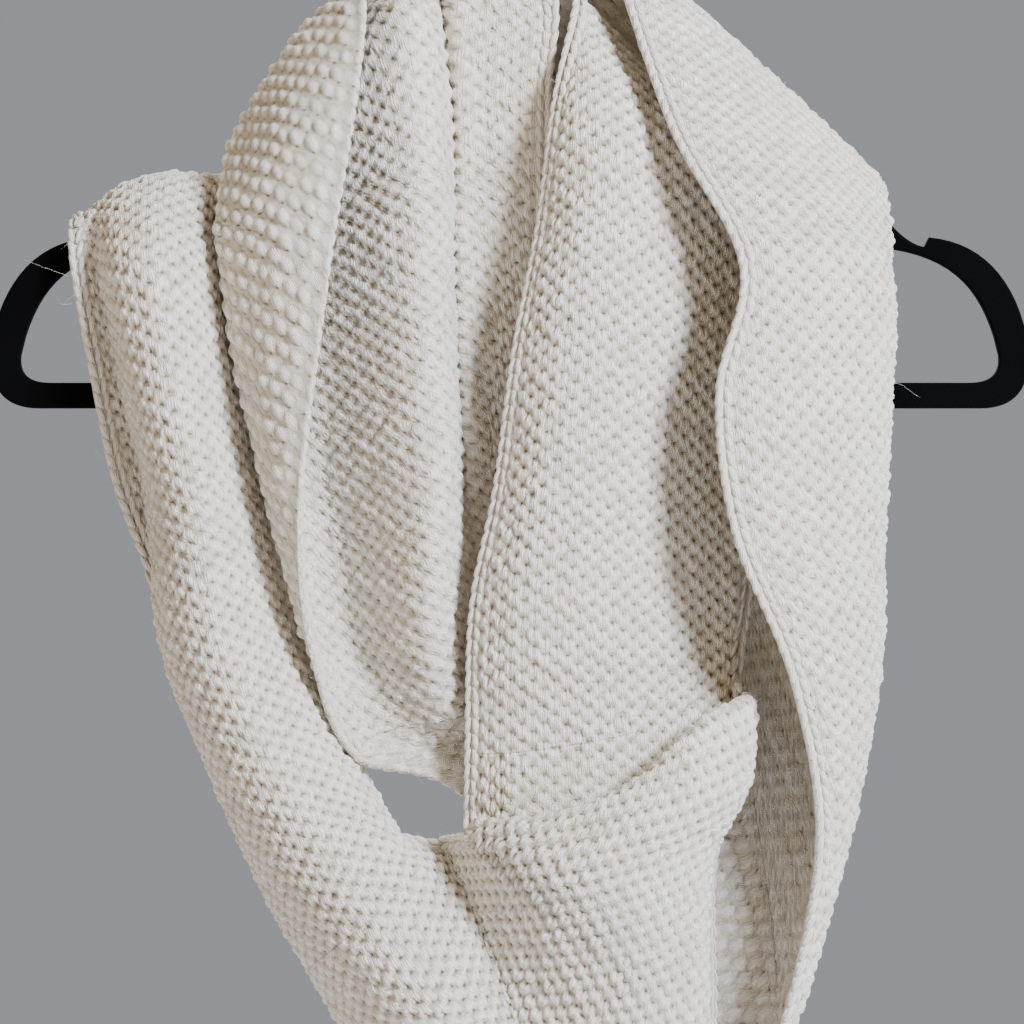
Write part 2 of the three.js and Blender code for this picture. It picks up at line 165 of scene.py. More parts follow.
# The inner turn behind the hook
NECK_INNER_TURN = [
    [(106, -4, -117), (95, -7, -110), (81, -10, -101), (66, -11, -90),
     (52, -12, -77), (39, -12, -64), (27, -11, -52)],
    [(92, 11, -134), (82, 14, -122), (70, 16, -109), (57, 17, -94),
     (44, 16, -78), (31, 12, -63), (18, 8, -50)],
    [(58, 16, -176), (53, 18, -155), (46, 20, -133), (37, 21, -111),
     (28, 20, -90), (19, 17, -68), (10, 12, -49)],
    [(2, 16, -188), (1, 18, -164), (0, 20, -138), (0, 21, -113),
     (0, 20, -88), (0, 18, -67), (0, 13, -47)],
    [(-54, 25, -128), (-62, 22, -148), (-68, 16, -158), (-58, 14, -124),
     (-44, 14, -92), (-30, 12, -65), (-15, 10, -46)],
    [(-68, 16, -60), (-87, 17, -86), (-106, 13, -117), (-77, 8, -80),
     (-52, 8, -50), (-31, 6, -49), (-14, 4, -41)],
]

# The left inner fall: lapel, hollow, front panel and throat fold
LEFT_INNER_FALL = [
    [(-66, -12, -45), (-93, -10, -73), (-117, -5, -115), (-77, 2, -76),
     (-52, -5, -47), (-27, -6, -43), (-7, -7, -40)],
    [(-61, -40, -60), (-92, -33, -92), (-121, -19, -132), (-86, -13, -96),
     (-46, -31, -62), (-22, -17, -56), (19, -18, -50)],
    [(-64, -56, -102), (-93, -48, -120), (-123, -27, -152), (-90, -17, -134),
     (-39, -41, -108), (-19, -14, -102), (18, -18, -94)],
    [(-73, -62, -160), (-99, -51, -160), (-122, -25, -160), (-90, -15, -160),
     (-37, -44, -160), (-19, -14, -160), (17, -17, -160)],
    [(-79, -63, -204), (-101, -50, -204), (-115, -26, -204), (-86, -15, -204),
     (-36, -45, -204), (-18, -16, -204), (13, -12, -204)],
    [(-84, -61, -240), (-100, -48, -240), (-106, -26, -240), (-82, -15, -240),
     (-34, -46, -240), (-16, -20, -240), (10, -9.5, -240)],
    [(-87, -56, -284), (-94, -43, -284), (-94, -25, -284), (-72, -15, -284),
     (-33, -46, -284), (-15, -20, -284), (12, -9.5, -284)],
    [(-83, -46, -328), (-83, -34, -328), (-78, -21, -328), (-62, -16, -328),
     (-33, -42, -328), (-13, -22, -328), (12, -10, -328)],
]

# The stretch behind the right inner fall and the lower sweep
CROSSING_UNDER = [
    [(-66, -36, -373), (-61, -30, -368), (-53, -24, -364), (-40, -26, -360),
     (-22, -33, -356), (-4, -22, -350), (17, -11, -342)],
    [(-20, -24, -391), (-12, -22, -384), (-3, -20, -375), (7, -19, -365),
     (17, -18, -354), (28, -14, -342), (40, -10, -330)],
    [(34, -18, -462), (41, -18, -438), (48, -17, -412), (54, -16, -386),
     (59, -14, -360), (64, -11, -334), (68, -9, -310)],
    [(80, -16, -530), (85, -16, -498), (88, -15, -464), (88, -14, -428),
     (87, -12, -390), (85, -10, -350), (82, -8.5, -308)],
]

# The right outer fall, a channel open to the left
RIGHT_OUTER_FALL = [
    [(103, -48, -514), (112, -38, -498), (114, -26, -470), (110, -18, -432),
     (104, -14, -392), (98, -10, -350), (92, -8.5, -308)],
    [(126, -60, -417), (135, -52, -414), (141, -35, -405), (136, -20, -384),
     (124, -14, -354), (112, -10, -322), (102, -8.5, -288)],
    [(116, -74, -344), (133, -68, -344), (149, -52, -340), (154, -30, -330),
     (144, -14, -314), (126, -9, -294), (108, -8, -272)],
    [(91, -80, -280), (112, -77, -280), (136, -64, -279), (154, -43, -276),
     (153, -20, -270), (136, -9.5, -262), (112, -8, -252)],
    [(84, -80, -223), (108, -77, -223), (134, -66, -223), (155.5, -45, -223),
     (156.5, -20, -223), (140, -9.5, -223), (116, -8, -223)],
    [(94, -74, -170), (116, -70, -171), (141, -58, -174), (158, -38, -178),
     (159, -17, -182), (144, -9.5, -186), (120, -8.5, -190)],
    [(66, -58, -112), (90, -58, -118), (116, -50, -128), (142, -37, -141),
     (160, -19, -156), (150, -9.5, -160), (128, -8, -160)],
]

# The outer turn over both arms and behind the neck
NECK_OUTER_TURN = [
    [(42, -10, -32), (72, -8, -52), (105, -7, -81), (134, -6, -108),
     (159, -4, -133), (147, -5, -137.5), (124, -5, -129.5)],
    [(38, 9, -30), (68, 15, -51), (100, 19, -79), (130, 21, -105),
     (157, 17, -134), (147, 10, -140), (126, 10, -135)],
    [(33, 26, -32), (62, 31, -56), (92, 35, -84), (118, 36, -118),
     (136, 33, -150), (134, 28, -186), (124, 24, -216)],
    [(10, 34, -32), (20, 40, -64), (32, 43, -96), (42, 44, -136),
     (50, 42, -176), (54, 39, -215), (56, 36, -252)],
    [(-34, 36, -46), (-42, 41, -76), (-50, 43, -104), (-56, 43, -142),
     (-60, 41, -180), (-62, 38, -218), (-62, 35, -254)],
    [(-90, 30, -98), (-104, 33, -118), (-118, 34, -140), (-132, 34, -164),
     (-144, 32, -188), (-152, 28, -211), (-156, 23, -233)],
    [(-111, 12, -128), (-121, 16, -129.5), (-134, 19, -131.5), (-148, 19, -139),
     (-161, 17, -146), (-171, 14, -155), (-180, 12, -164)],
]

STRETCHES = [LEFT_OUTER_FALL, LOWER_SWEEP, RIGHT_INNER_FALL, NECK_INNER_TURN, LEFT_INNER_FALL,
             CROSSING_UNDER, RIGHT_OUTER_FALL, NECK_OUTER_TURN]
sections = np.array(sum(STRETCHES, []), dtype=float) * MM
print("sections:", len(sections), "of", len(RAILS), "points")

# %% [markdown]
# ## From sections to one smooth surface
# A Catmull-Rom spline passes through every point of the tables, first across the band and then
# along it. The band has half a twist, so after one trip round it the two edges have changed
# places. That is why the list of sections carries on with each section turned round.

# %% The surface of the band
def section_at(index):
    trips, row = divmod(index, len(sections))
    return sections[row] if trips % 2 == 0 else sections[row][::-1]


def spline(before, start, end, after, t):
    slope = (end - before) / 2
    curve = before - 2.5 * start + 2 * end - 0.5 * after
    turn = (after - before) / 2 + 1.5 * (start - end)
    return ((turn * t + curve) * t + slope) * t + start


def section_curve(section, across):
    """Points of one section where across runs from 0 at the outer edge to 6 at the inner edge."""
    padded = np.vstack([2 * section[0] - section[1], section, 2 * section[-1] - section[-2]])
    rail = np.clip(np.floor(across).astype(int), 0, len(section) - 2)
    t = (across - rail)[:, None]
    return spline(padded[rail], padded[rail + 1], padded[rail + 2], padded[rail + 3], t)


def crossing_points(place, across):
    """Points of one crossing of the band, at any place along it."""
    row = int(math.floor(place))
    near = [section_curve(section_at(row + step), across) for step in (-1, 0, 1, 2)]
    return spline(*near, place - row)


def band_points(along, across):
    """A grid of points: along counts rows of the tables, across counts rails."""
    return np.array([crossing_points(place, across) for place in along])


# %% [markdown]
# ## Measuring the cloth
# Stitches are all one size, so the surface needs coordinates in millimetres of cloth. The script
# walks across each section and along the band, adds up the distances, and keeps them as tables.
# One follows the middle of the band. One leans towards its longest line, and spaces the rows.

# %% Cloth coordinates
FINE_ALONG = 8
FINE_ACROSS = 96
LONGEST_SHARE = 0.65
LAST_TOO = 1e-9  # makes a range take in its last value


def added_up(steps):
    """Distances from the start, for steps of these lengths."""
    return np.concatenate([[0], np.cumsum(steps)])


def unit(vectors):
    """Vectors of length one that point the same way."""
    return vectors / np.linalg.norm(vectors, axis=-1, keepdims=True)


ALONG = np.arange(0, len(sections) + LAST_TOO, 1 / FINE_ALONG)
ACROSS = np.linspace(0, len(RAILS) - 1, FINE_ACROSS + 1)
surface = band_points(ALONG, ACROSS)
steps_across = np.linalg.norm(np.diff(surface, axis=1), axis=2)
width_done = np.array([added_up(steps) for steps in steps_across])
section_width = width_done[:, -1]
steps_along = np.linalg.norm(np.diff(surface, axis=0), axis=2)
middle_rails = slice(FINE_ACROSS // 5, -FINE_ACROSS // 5)
length_done = added_up(steps_along[:, middle_rails].mean(axis=1))
longest_done = added_up((1 - LONGEST_SHARE) * steps_along.mean(axis=1)
                        + LONGEST_SHARE * steps_along.max(axis=1))
print("band length %.0f mm, width across its folds %.0f to %.0f mm"
      % (length_done[-1] / MM, section_width.min() / MM, section_width.max() / MM))

# %% [markdown]
# ## Flattening the cloth
# Stitches keep their size when cloth bends, so the pattern is drawn on the flat cloth and carried
# up to the folded one. This cell flattens cloth as a pattern cutter would: every small triangle
# keeps its own shape as nearly as it can, while all of them stay joined. It repeats two steps,
# first turn each triangle to fit, then place all corners at once.

# %% Flattening a grid of points
FLATTEN_ROUNDS = 40
STIFF_LIMITS = (0.05, 10)
NEVER_ZERO = 1e-12


def flat_triangle(corners):
    """Each triangle laid flat by itself: three corners in two dimensions."""
    first, second = corners[:, 1] - corners[:, 0], corners[:, 2] - corners[:, 0]
    length = np.linalg.norm(first, axis=1)
    along = (first * second).sum(axis=1) / length
    height = np.linalg.norm(np.cross(first, second), axis=1) / length
    zero = np.zeros_like(length)
    return np.stack([np.stack([zero, zero], 1), np.stack([length, zero], 1),
                     np.stack([along, height], 1)], axis=1)


def flatten(points):
    """Two flat coordinates for each point of a grid, in metres."""
    rows, columns = points.shape[:2]
    size = rows * columns
    corner = np.arange(size).reshape(rows, columns)
    a, b, c, d = corner[:-1, :-1], corner[:-1, 1:], corner[1:, 1:], corner[1:, :-1]
    triangles = np.concatenate([np.stack([a, b, c], 2).reshape(-1, 3),
                                np.stack([a, c, d], 2).reshape(-1, 3)])
    own = flat_triangle(points.reshape(-1, 3)[triangles])
    sides = own[:, [1, 2, 0]] - own[:, [2, 0, 1]]
    area = np.abs(sides[:, 0, 0] * sides[:, 1, 1] - sides[:, 0, 1] * sides[:, 1, 0])
    dots = -(sides[:, [1, 2, 0]] * sides[:, [2, 0, 1]]).sum(axis=2)
    stiff = np.clip(dots / area[:, None], *STIFF_LIMITS)
    side_ends = [(triangles[:, (side + 1) % 3], triangles[:, (side + 2) % 3]) for side in range(3)]
    network = np.zeros((size, size))
    for side, (i, j) in enumerate(side_ends):
        for one, other, value in ((i, i, 1), (j, j, 1), (i, j, -1), (j, i, -1)):
            np.add.at(network, (one, other), value * stiff[:, side])
    network[0, 0] += 1  # holds one corner, or the cloth could lie anywhere
    solve = np.linalg.inv(network)
    down = added_up(np.linalg.norm(np.diff(points, axis=0), axis=2).mean(axis=1))
    over = [added_up(steps) for steps in np.linalg.norm(np.diff(points, axis=1), axis=2)]
    flat = np.stack([over, np.repeat(down[:, None], columns, 1)], axis=2).reshape(-1, 2)
    for _ in range(FLATTEN_ROUNDS):
        laid = flat[triangles]
        laid_sides = laid[:, [1, 2, 0]] - laid[:, [2, 0, 1]]
        cosine = (stiff * (sides * laid_sides).sum(axis=2)).sum(axis=1)
        sine = (stiff * (sides[..., 0] * laid_sides[..., 1]
                         - sides[..., 1] * laid_sides[..., 0])).sum(axis=1)
        long = np.hypot(cosine, sine) + NEVER_ZERO
        cosine, sine = (cosine / long)[:, None], (sine / long)[:, None]
        turned = np.stack([cosine * sides[..., 0] - sine * sides[..., 1],
                           sine * sides[..., 0] + cosine * sides[..., 1]], axis=2)
        pull = np.zeros((size, 2))
        for side, (i, j) in enumerate(side_ends):
            force = stiff[:, side, None] * turned[:, side]
            np.add.at(pull, i, force)
            np.add.at(pull, j, -force)
        flat = solve @ pull
    stretch = np.linalg.norm(laid_sides, axis=2) / np.linalg.norm(sides, axis=2)
    print("flattened %d points, stretch %.2f to %.2f for most of it"
          % (size, *np.percentile(stretch, (5, 95))))
    return flat.reshape(rows, columns, 2)


# %% [markdown]
# ## Five flat lengths
# The whole loop can't be laid flat, so the band is flattened in five lengths, which meet in
# creases and behind the neck. In each, the stitches lie straight across at one row of the tables,
# and their columns are counted from the edge that shows.

# %% Flat coordinates of the band
CHART_ALONG = 4
CHART_ACROSS = 4
# first row, last row, the row where the stitches lie straight, and the edge that the columns are
# counted from: 0 the outer, 1 the inner
CHARTS = [(-3, 9, 3, 0), (9, 13.5, 11.5, 1), (13.5, 25, 17.5, 1), (25, 37, 31, 0), (37, 50, 42, 0)]


def chart(first, last, straight, edge):
    """A flattened length, turned so that the band runs along its second coordinate."""
    places = np.arange(first, last + LAST_TOO, 1 / CHART_ALONG)
    lines = np.arange(0, len(RAILS) - 1 + LAST_TOO, 1 / CHART_ACROSS)
    flat = flatten(band_points(places, lines))
    middle = round((straight - first) * CHART_ALONG)
    heading = unit((flat[middle + 2] - flat[middle - 2]).mean(axis=0))
    across = np.array([heading[1], -heading[0]])
    if ((flat[middle, -1] - flat[middle, 0]) @ across) < 0:
        across = -across
    flat = np.stack([flat @ across, flat @ heading], axis=2)
    return flat - flat[middle, -edge]


charts = [chart(*row) for row in CHARTS]


def flat_place(place, across):
    """Flat coordinates of points of one section. After the last chart the band comes round."""
    if place > CHARTS[-1][1]:
        place, across = place - len(sections), len(RAILS) - 1 - across
    known = [k for k, row in enumerate(CHARTS) if row[0] <= place <= row[1]][0]
    table = charts[known]
    at = (place - CHARTS[known][0]) * CHART_ALONG
    below = min(max(int(at), 0), len(table) - 2)
    before, after = max(below - 1, 0), min(below + 2, len(table) - 1)
    line = spline(table[before], table[below], table[below + 1], table[after], at - below)
    lines = np.arange(len(line)) / CHART_ACROSS
    return np.interp(across, lines, line[:, 0]), np.interp(across, lines, line[:, 1])


# %% [markdown]
# ## One stitch
# The cloth is moss stitch: a single crochet, then a chain, and in the next row the other way
# round. What the eye sees is a small V of two plump legs with a hole between their tops, and
# every other column is moved by half a stitch. Each leg is a rod that arches in the middle. On
# the reverse of the cloth each stitch shows the back of its loop, one round pebble.

# %% The height of the stitches
PAIR_WIDTH = 9.2 * MM
COLUMN_WIDTH = PAIR_WIDTH / 2
STITCH_LENGTH = 7.2 * MM
# From here to FAR in mm or shares, places counted across and along from a stitch's middle
LEG_FOOT = (0.68, -2.5)
LEG_TOP = (1.7, 1.8)
LEG_RADIUS = 1.2
LEG_ARCH = 0.95
PEBBLE_SIZE = 1.3
PEBBLE_HALF = (2.2, 2.9)
PEBBLE_HEIGHT = 1.7
PEBBLE_LEAN = 0.35
HOLE_UP = 2.6
HOLE_RADIUS = (0.5, 1.3)
HOLE_CLOSING = 0.12
GROUND = 0.5
UNEVEN_HEIGHT = 0.28
UNEVEN_PLACE = 0.45
FAR = 9.0
SCATTER_STEPS, SCATTER_SCALE = (12.9898, 78.233, 37.719), 43758.5453


def scatter(column, number, turn):
    """A number from -1 to 1 for each stitch, the same each time the script runs."""
    angle = column * SCATTER_STEPS[0] + number * SCATTER_STEPS[1] + turn * SCATTER_STEPS[2]
    return 2 * ((np.sin(angle) * SCATTER_SCALE) % 1) - 1


def leg_height(x, y):
    """Height of the nearer leg of a V at x, y mm from its middle, and the places on that leg."""
    leg = np.array(LEG_TOP) - LEG_FOOT
    x, y = np.abs(x) - LEG_FOOT[0], y - LEG_FOOT[1]
    on_leg = np.clip((x * leg[0] + y * leg[1]) / (leg @ leg), 0, 1)
    off_leg = np.hypot(x - on_leg * leg[0], y - on_leg * leg[1])
    rod = np.sqrt(np.clip(LEG_RADIUS ** 2 - off_leg ** 2, 0, None))
    rod = np.where(rod > 0, rod + LEG_ARCH * 4 * on_leg * (1 - on_leg), 0)
    side = np.sign(x * leg[1] - y * leg[0])
    return rod, off_leg * side, on_leg * np.hypot(*leg)


def pebble_height(x, y):
    """Height of a round pebble at x, y mm from its middle, and the places on it."""
    leaning = x + PEBBLE_LEAN * y
    inside = 1 - (leaning / PEBBLE_HALF[0]) ** 2 - (y / PEBBLE_HALF[1]) ** 2
    return PEBBLE_HEIGHT * np.sqrt(np.clip(inside, 0, None)), leaning, y


def stitch_relief(s, t, pebbled):
    """Height of the stitches at flat coordinates, and places across and along their legs in mm."""
    size = PEBBLE_SIZE if pebbled else 1
    counted, length = s / COLUMN_WIDTH / size, t / STITCH_LENGTH / size
    nearest = np.round(counted)
    height, leg_across, leg_along = np.zeros_like(s), np.zeros_like(s), np.zeros_like(s)
    hole_away = np.full_like(s, FAR)
    for step in (-1, 0, 1):
        column = nearest + step
        turns = length + column / 2
        number = np.floor(turns)
        x = (counted - column) * COLUMN_WIDTH / MM + UNEVEN_PLACE * scatter(column, number, 1)
        y = (turns - number - 0.5) * STITCH_LENGTH / MM + UNEVEN_PLACE * scatter(column, number, 2)
        bump, across, along = pebble_height(x, y) if pebbled else leg_height(x, y)
        bump = bump * (1 + UNEVEN_HEIGHT * scatter(column, number, 3))
        leg_across = np.where(bump > height, across, leg_across)
        leg_along = np.where(bump > height, along, leg_along)
        height = np.maximum(height, bump)
        closed = HOLE_CLOSING * (1 + scatter(column, number, 4))
        hole_away = np.minimum(hole_away, np.hypot(x, y - HOLE_UP) + closed)
    filled = np.clip((hole_away - HOLE_RADIUS[0]) / (HOLE_RADIUS[1] - HOLE_RADIUS[0]), 0, 1)
    return np.maximum(height, GROUND * filled) * size * MM, leg_across * size, leg_along * size


band_area = (section_width[1:] * np.diff(length_done)).sum()
print("stitches in the band: about %d" % (band_area / (COLUMN_WIDTH * STITCH_LENGTH)))

# %% [markdown]
# ## Rows and columns of a stretch
# Each stretch replaces the plain wall of the same name. Its grid is even in millimetres of cloth,
# counted from the edge that shows. One long crease is pressed into it, and the stitches fade out
# under the braided edges.

# %% The grid of a stretch
# first row, last row, rail where the cloth is pressed back, half its width in rails, depth in mm
CREASES = [(26.6, 33.0, 4.72, 0.15, 15.0)]
CREASE_FADE = 3
EDGE_STRIP = 5.5 * MM
EDGE_TAPER = 3 * MM
LOOSE_END = 20 * MM
BACK_SHIFT = np.array([COLUMN_WIDTH / 2, STITCH_LENGTH / 3])


def between_rows(table, place):
    """A row of a table of ALONG by ACROSS, at any place along the band."""
    below = int(min(place * FINE_ALONG, len(ALONG) - 2))
    t = place * FINE_ALONG - below
    return (1 - t) * table[below] + t * table[below + 1]


def row_lengths(first, last, row_count):
    """Rows of a grid, spread evenly, with one more beyond each end for the normals."""
    lengths = np.interp([first, last], ALONG, longest_done)
    inner = np.interp(np.linspace(*lengths, row_count + 1), longest_done, ALONG)
    return np.concatenate([[2 * inner[0] - inner[1]], inner, [2 * inner[-1] - inner[-2]]])


def even_columns(width, spacing, count, from_inner):
    """Distances across a row: even from the edge that shows, and fitted in at the other edge."""
    if width > count * spacing:
        return np.linspace(0, width, count + 1)
    whole = int((width - min(LOOSE_END, width / 4)) / spacing)
    rest = np.linspace(whole * spacing, width, count - whole + 1)
    done = np.concatenate([np.arange(whole) * spacing, rest])
    return (width - done)[::-1] if from_inner else done


def crease_depth(places, across):
    """How far the creases press the cloth back, for places along and rails across."""
    depth = np.zeros(across.shape)
    for first, last, rail, half, deep in CREASES:
        share = np.clip((places - first) / (last - first), 0, 1)
        fade = np.clip(CREASE_FADE * np.sin(math.pi * share), 0, 1)
        depth += deep * MM * fade[:, None] * np.exp(-((across - rail) / half) ** 2)
    return depth


def cloth_grid(first, last, rows, columns, spacing, from_inner, facing, pebbled):
    """Points, normals, relief and leg coordinates of a stretch."""
    points, relief, legs, rails = [], [], [], []
    places = row_lengths(first, last, rows)
    shift = (1 - facing) / 2 * BACK_SHIFT
    for place in places:
        inside = min(max(place, 0), ALONG[-1])
        done = between_rows(width_done, inside)
        s = even_columns(done[-1], spacing, columns, from_inner)
        across = np.interp(s, done, ACROSS)
        points.append(crossing_points(place, across))
        flat_across, flat_along = flat_place(inside, across)
        height, leg_across, leg_along = stitch_relief(
            flat_across + shift[0], flat_along + shift[1], pebbled)
        edge = np.clip((np.minimum(s, done[-1] - s) - EDGE_STRIP) / EDGE_TAPER, 0, 1)
        relief.append(height * edge)
        # the third value is the stitch height, which sets the painted shade in the pits
        legs.append(np.stack([leg_across, leg_along, height / MM], axis=1))
        rails.append(across)
    points = np.array(points)
    points[..., 1] += crease_depth(places, np.array(rails))
    normals = unit(np.cross(np.gradient(points, axis=0), np.gradient(points, axis=1)))
    return points[1:-1], normals[1:-1], np.array(relief)[1:-1], np.array(legs)[1:-1]


# %% [markdown]
# ## A stretch as a thin shell
# The fine side carries the V stitches, the other side the pebbles, and a rim joins the two. Every
# point keeps its place on its strand and its height as an attribute, for the plies and the painted
# shade in the yarn's material.

# %% Building a shell
PIT_HALF = 0.9 * MM
USUAL_WIDTH = 75  # percent of the widths that the number of columns suits


def new_piece(name, points, faces, legs, note):
    """A smooth mesh object that carries the leg coordinates of its points."""
    mesh = bpy.data.meshes.new(name)
    mesh.from_pydata(points, [], faces)
    mesh.shade_smooth()
    values = np.array(legs, dtype=float).ravel()
    mesh.attributes.new("leg", "FLOAT_VECTOR", "POINT").data.foreach_set("vector", values)
    mesh.calc_loop_triangles()
    print("%s: %s, %d triangles" % (name, note, len(mesh.loop_triangles)))
    return add_object(name, mesh)


def grid_faces(rows, columns, start, flip):
    corner = start + np.arange(rows)[:, None] * (columns + 1) + np.arange(columns)[None, :]
    quads = np.stack([corner, corner + columns + 1, corner + columns + 2, corner + 1], axis=2)
    quads = quads.reshape(-1, 4)
    return quads[:, ::-1] if flip else quads


def rim_faces(fine, coarse, flip):
    """Joins one edge of the front to the same edge of the back."""
    faces = []
    step = (len(fine) - 1) // (len(coarse) - 1)
    for k in range(len(coarse) - 1):
        d, e = coarse[k], coarse[k + 1]
        a, b, c = fine[step * k], fine[step * k + step // 2], fine[step * (k + 1)]
        strip = [[a, c, e, d]] if step == 1 else [[a, b, d], [b, e, d], [b, c, e]]
        faces += [face[::-1] if flip else face for face in strip]
    return faces


def cloth_shell(name, first, last, spacing, from_inner, fine_side, back_step):
    """The fine side is 1 for the band's own front and -1 for its reverse."""
    length = np.diff(np.interp([first, last], ALONG, length_done))[0]
    longest = np.diff(np.interp([first, last], ALONG, longest_done))[0]
    widths = section_width[int(first * FINE_ALONG):int(last * FINE_ALONG) + 1]
    rows = 2 * int(round(longest / spacing[0] / 2))
    columns = 2 * int(round(np.percentile(widths, USUAL_WIDTH) / spacing[1] / 2))
    settings = (first, last, rows, columns, spacing[1], from_inner)
    points, normals, relief, legs = cloth_grid(*settings, fine_side, False)
    _, _, back_relief, back_legs = cloth_grid(*settings, -fine_side, True)
    skip = (slice(None, None, back_step), slice(None, None, back_step))
    outward = normals * fine_side
    front = points + outward * (PIT_HALF + relief)[..., None]
    back = points[skip] - outward[skip] * (PIT_HALF + back_relief[skip])[..., None]
    start = front.shape[0] * front.shape[1]
    flip = fine_side < 0
    quads = np.vstack([grid_faces(rows, columns, 0, flip),
                       grid_faces(rows // back_step, columns // back_step, start, not flip)])
    fine = np.arange(start).reshape(rows + 1, columns + 1)
    coarse = start + np.arange(back.shape[0] * back.shape[1]).reshape(back.shape[:2])
    rim = (rim_faces(fine[0], coarse[0], flip) + rim_faces(fine[-1], coarse[-1], not flip)
           + rim_faces(fine[:, 0], coarse[:, 0], not flip)
           + rim_faces(fine[:, -1], coarse[:, -1], flip))
    vertices = np.vstack([front.reshape(-1, 3), back.reshape(-1, 3)])
    values = np.vstack([legs.reshape(-1, 3), back_legs[skip].reshape(-1, 3)])
    note = "%.0f mm long, %.0f to %.0f mm wide" % (
        length / MM, widths.min() / MM, widths.max() / MM)
    return new_piece(name, vertices.tolist(), quads.tolist() + rim, values, note), length


# %% [markdown]
# ## The eight stretches
# The stretches that face the viewer have about one point a millimetre. The left inner fall is
# seen from both sides, so its back is as fine as its front. The turns behind the neck are
# coarser. After the half twist the band's reverse shows, so the fine side is chosen for each.

# %% Making the stretches
# name, first row, last row, spacing along and across in mm, whether the inner edge shows, fine
# side, how much coarser the other side is
STRETCH_ROWS = [
    ("left_outer_fall", 0, 7, (1.05, 1.0), False, 1, 2),
    ("lower_sweep", 7, 15, (1.15, 1.1), False, 1, 2),
    ("right_inner_fall", 15, 21, (1.0, 0.95), True, 1, 2),
    ("neck_inner_turn", 21, 27, (1.7, 1.9), True, 1, 2),
    ("left_inner_fall", 27, 35, (1.45, 1.35), False, 1, 1),
    ("crossing_under", 35, 39, (1.9, 1.8), False, -1, 1),
    ("right_outer_fall", 39, 46, (1.2, 1.1), False, -1, 2),
    ("neck_outer_turn", 46, 53, (2.0, 2.05), False, -1, 2),
]
cloth = {}
for name, first, last, spacing, *choices in STRETCH_ROWS:
    spacing = tuple(step * MM for step in spacing)
    cloth[name] = cloth_shell(name + "_cloth", first, last, spacing, *choices)

# %% [markdown]
# ## The braided edges
# Both edges of the band end in a row of chain stitches, a small braid of two strands that lean
# inwards. Each strand is a short plump capsule, lifted in the middle. They are all written into
# one mesh for each stretch, because thousands of separate objects would be slow.

# %% Building the chains
LINK_PITCH = 6.6 * MM
FEWEST_LINKS = 2
EDGE_STEP = 1 / 64
EDGE_INWARDS = 0.25
STRAND_RADIUS = 1.55 * MM
STRAND_START = (2.6 * MM, -2.5 * MM)
STRAND_END = (0.9 * MM, 6.5 * MM)
STRAND_RISE = 0.5 * MM
STRAND_LIFT = 0.7 * MM
STRAND_SIDES = 6
# place along the strand, share of the radius
STRAND_RINGS = [(0.0, 0.35), (0.15, 0.85), (0.5, 1.0), (0.85, 0.85), (1.0, 0.35)]
# STRAND_HEIGHT plus a ring's swell is the height for the painted pit shade
STRAND_PLIES, STRAND_HEIGHT = 6, 0.9  # for the material, in mm
CHAIN_OUT = -2.9 * MM


def edge_frames(first, last, edge):
    """Points along one edge, a link apart, with directions along, outward and up."""
    places = np.arange(first, last + LAST_TOO, EDGE_STEP)
    inwards = (1 - 2 * edge) * np.array([0, EDGE_INWARDS])
    line = band_points(places, edge * (len(RAILS) - 1) + inwards)
    done = added_up(np.linalg.norm(np.diff(line[:, 0], axis=0), axis=1))
    links = max(int(round(done[-1] / LINK_PITCH)), FEWEST_LINKS)
    wanted = (np.arange(links) + 0.5) * done[-1] / links
    point, along, outward = (
        np.stack([np.interp(wanted, done, values[:, k]) for k in range(3)], axis=1)
        for values in (line[:, 0], np.gradient(line[:, 0], axis=0), line[:, 0] - line[:, 1]))
    along = unit(along)
    outward = unit(outward - along * (outward * along).sum(axis=1, keepdims=True))
    return point, along, outward, np.cross(along, outward)


def tube_faces(sides, steps):
    """The faces round a tube whose rings of points follow each other."""
    return [(ring * sides + k, ring * sides + (k + 1) % sides,
             (ring + 1) * sides + (k + 1) % sides, (ring + 1) * sides + k)
            for ring in range(steps) for k in range(sides)]


def strand(start, end, lift, up):
    """A capsule from start to end: its points, its faces and its leg coordinates in mm."""
    axis = unit(end - start)
    sideways = unit(np.cross(axis, up))
    top = np.cross(sideways, axis)
    points, values = [], []
    for share, swell in STRAND_RINGS:
        centre = start + (end - start) * share + up * lift * 4 * share * (1 - share)
        for k in range(STRAND_SIDES):
            angle = 2 * math.pi * k / STRAND_SIDES
            arm = sideways * math.cos(angle) + top * math.sin(angle)
            points.append(centre + arm * STRAND_RADIUS * swell)
            # the third value sets the painted shade: a little darker at the thin ends of a strand
            values.append((angle * STRAND_RADIUS / MM, share * STRAND_PLIES,
                           STRAND_HEIGHT + swell))
    faces = tube_faces(STRAND_SIDES, len(STRAND_RINGS) - 1)
    faces.append(tuple(range(STRAND_SIDES))[::-1])
    faces.append(tuple(range(len(points) - STRAND_SIDES, len(points))))
    return points, faces, values


def join_parts(name, parts):
    """One mesh object from many small lists of points, faces and leg coordinates."""
    points, faces, values = [], [], []
    for part_points, part_faces, part_values in parts:
        start = len(points)
        points += [tuple(p) for p in part_points]
        faces += [tuple(start + index for index in face) for face in part_faces]
        values += part_values
    return new_piece(name, points, faces, values, "%d parts" % len(parts))


def chain_parts(first, last, fine_side):
    parts = []
    for edge in (0, 1):
        shown = fine_side if edge == 1 else -fine_side
        for point, along, outward, up in zip(*edge_frames(first, last, edge)):
            middle = point + outward * CHAIN_OUT + up * shown * STRAND_RISE
            for side in (1, -1):
                start, end = (middle + outward * across * side + along * onwards
                              for across, onwards in (STRAND_START, STRAND_END))
                parts.append(strand(start, end, STRAND_LIFT * shown, up))
    return parts


braids = {}
for name, first, last, _, _, fine_side, _ in STRETCH_ROWS:
    braids[name] = join_parts(name + "_braid", chain_parts(first, last, fine_side))

